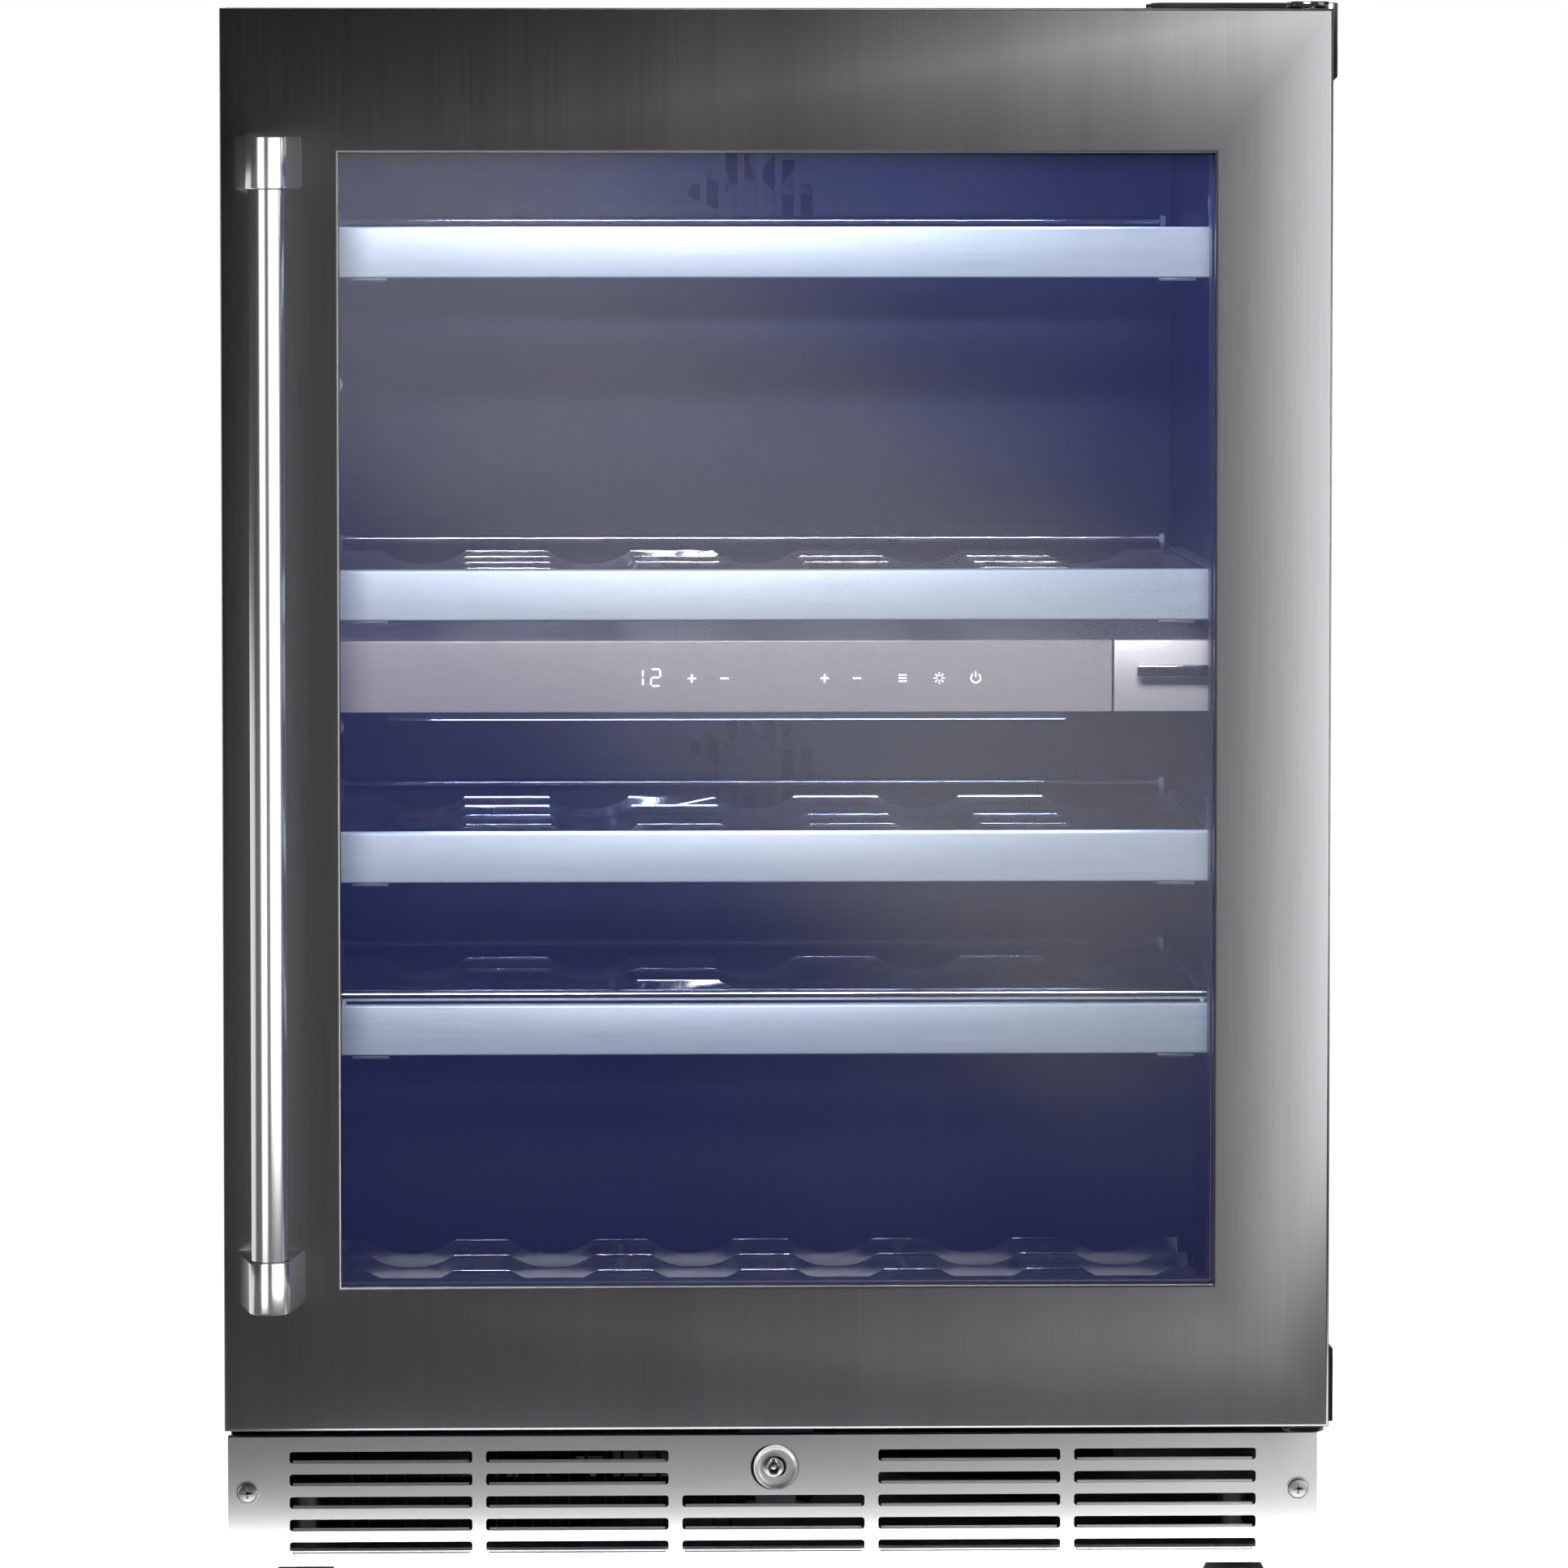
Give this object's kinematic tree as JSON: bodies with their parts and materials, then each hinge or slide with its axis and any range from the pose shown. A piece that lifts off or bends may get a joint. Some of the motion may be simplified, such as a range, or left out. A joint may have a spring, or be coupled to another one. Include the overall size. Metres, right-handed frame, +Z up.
{
  "type": "wine cooler",
  "caption": "Built-in wine cooler with a framed glass door on a side hinge, a tubular handle, sliding bottle shelves in two cooled zones, a control panel and a vented, lockable plinth.",
  "frame": {"origin": "middle of the overall footprint, on the floor under the feet", "axes": "+X to the right seen from the front, +Y to the back, +Z up"},
  "size_m": [0.602, 0.629, 0.864],
  "materials": {
    "black_steel": "satin",
    "galvanised": "satin",
    "liner": "satin",
    "foam": "matte",
    "stainless": "satin",
    "plinth_stainless": "satin",
    "handle_stainless": "gloss",
    "bright_steel": "polished",
    "shelf_metal": "satin",
    "slide_steel": "satin",
    "rack_wire": "polished",
    "black_plastic": "satin",
    "dark_plastic": "satin",
    "panel_grey": "satin",
    "light_lens": "gloss",
    "board_green": "satin",
    "bush_nylon": "satin",
    "probe_white": "satin",
    "pane": "gloss",
    "spacer_black": "matte",
    "seal_rubber": "matte",
    "mount_rubber": "matte",
    "compressor_black": "gloss",
    "coil_steel": "satin",
    "fin_aluminium": "satin",
    "copper_tube": "satin"
  },
  "bodies": {
    "cabinet": {"outer_wrap": "black_steel", "back_panel": "galvanised", "inner_liner": "liner", "foam_insulation": "foam", "front_frame": "black_steel", "compartment_panel": "galvanised", "base_tray": "galvanised", "machine_cover": "galvanised", "toe_kick_grille": "plinth_stainless", "kick_screws": "bright_steel", "cabinet_screws": "black_steel", "hinge_brackets": "black_steel", "hinge_pins": "bright_steel", "hinge_covers": "black_plastic", "anti_tip_bracket": "galvanised", "power_inlet": "black_plastic", "compressor": "compressor_black", "compressor_mounts": "mount_rubber", "condenser_coil": "coil_steel", "refrigerant_tubes": "copper_tube", "drip_tray": "dark_plastic", "fan_frames": "black_plastic", "evaporators": "fin_aluminium", "duct_covers": "dark_plastic", "temperature_sensors": "probe_white", "light_bars": "light_lens", "cabinet_slides": "slide_steel", "floor_rack": "rack_wire", "zone_divider": "dark_plastic", "control_panel": "panel_grey", "display_board": "board_green", "lock_housing": "bright_steel"},
    "door": {"door_skin": "stainless", "door_foam": "foam", "door_lining": "dark_plastic", "outer_glass": "pane", "inner_glass": "pane", "glass_spacer": "spacer_black", "door_seal": "seal_rubber", "hinge_bushes": "bush_nylon", "handle_tube": "handle_stainless", "handle_mounts": "handle_stainless", "handle_screws": "slide_steel", "lock_strike": "slide_steel"},
    "shelf_1": {"shelf_rack_1": "rack_wire", "shelf_fascia_1": "shelf_metal"},
    "shelf_2": {"shelf_rack_2": "rack_wire", "shelf_fascia_2": "shelf_metal"},
    "shelf_3": {"shelf_rack_3": "rack_wire", "shelf_fascia_3": "shelf_metal"},
    "shelf_4": {"shelf_rack_4": "rack_wire", "shelf_fascia_4": "shelf_metal"},
    "drawer": {"accessory_drawer": "panel_grey", "drawer_pull": "bright_steel"},
    "condenser_fan_rotor": {"condenser_fan": "dark_plastic"},
    "upper_fan_rotor": {"upper_fan": "dark_plastic"},
    "lower_fan_rotor": {"lower_fan": "dark_plastic"},
    "lock_plug": {"lock_cylinder": "bright_steel"},
    "lock_latch": {"lock_bolt": "slide_steel"},
    "feet": {"levelling_feet": "black_plastic"}
  },
  "joints": [
    {"name": "door_hinge", "type": "hinge", "parent": "cabinet", "child": "door", "pos_m": [0.282, -0.2365, 0.4785], "axis": [0, 0, 1], "range_deg": [0, 115]},
    {"name": "shelf_1_slide", "type": "slide", "parent": "cabinet", "child": "shelf_1", "axis": [0, -1, 0], "range_m": [0, 0.28]},
    {"name": "shelf_2_slide", "type": "slide", "parent": "cabinet", "child": "shelf_2", "axis": [0, -1, 0], "range_m": [0, 0.28]},
    {"name": "shelf_3_slide", "type": "slide", "parent": "cabinet", "child": "shelf_3", "axis": [0, -1, 0], "range_m": [0, 0.28]},
    {"name": "shelf_4_slide", "type": "slide", "parent": "cabinet", "child": "shelf_4", "axis": [0, -1, 0], "range_m": [0, 0.28]},
    {"name": "drawer_slide", "type": "slide", "parent": "cabinet", "child": "drawer", "axis": [0, -1, 0], "range_m": [0, 0.16]},
    {"name": "condenser_fan_spin", "type": "hinge", "parent": "cabinet", "child": "condenser_fan_rotor", "pos_m": [-0.129, -0.0145, 0.0615], "axis": [0, 1, 0], "continuous": true},
    {"name": "upper_fan_spin", "type": "hinge", "parent": "cabinet", "child": "upper_fan_rotor", "pos_m": [-0.0035, 0.2505, 0.751], "axis": [0, 1, 0], "continuous": true},
    {"name": "lower_fan_spin", "type": "hinge", "parent": "cabinet", "child": "lower_fan_rotor", "pos_m": [-0.0035, 0.2505, 0.424], "axis": [0, 1, 0], "continuous": true},
    {"name": "lock_turn", "type": "hinge", "parent": "cabinet", "child": "lock_plug", "pos_m": [-0.0035, -0.1695, 0.0669], "axis": [0, -1, 0], "range_deg": [0, 90]},
    {"name": "lock_bolt_slide", "type": "slide", "parent": "cabinet", "child": "lock_latch", "axis": [0, 0, 1], "range_m": [0, 0.0086]},
    {"name": "feet_height", "type": "slide", "parent": "cabinet", "child": "feet", "axis": [0, 0, -1], "range_m": [0, 0.02]}
  ],
  "couplings": [
    {"joint": "shelf_1_slide", "follows": "door_hinge", "m_per_rad": 0.0412},
    {"joint": "shelf_2_slide", "follows": "door_hinge", "m_per_rad": 0.0412},
    {"joint": "shelf_3_slide", "follows": "door_hinge", "m_per_rad": 0.0412},
    {"joint": "shelf_4_slide", "follows": "door_hinge", "m_per_rad": 0.0412},
    {"joint": "drawer_slide", "follows": "door_hinge", "m_per_rad": 0.0412},
    {"joint": "lock_bolt_slide", "follows": "lock_turn", "m_per_rad": 0.0054}
  ]
}
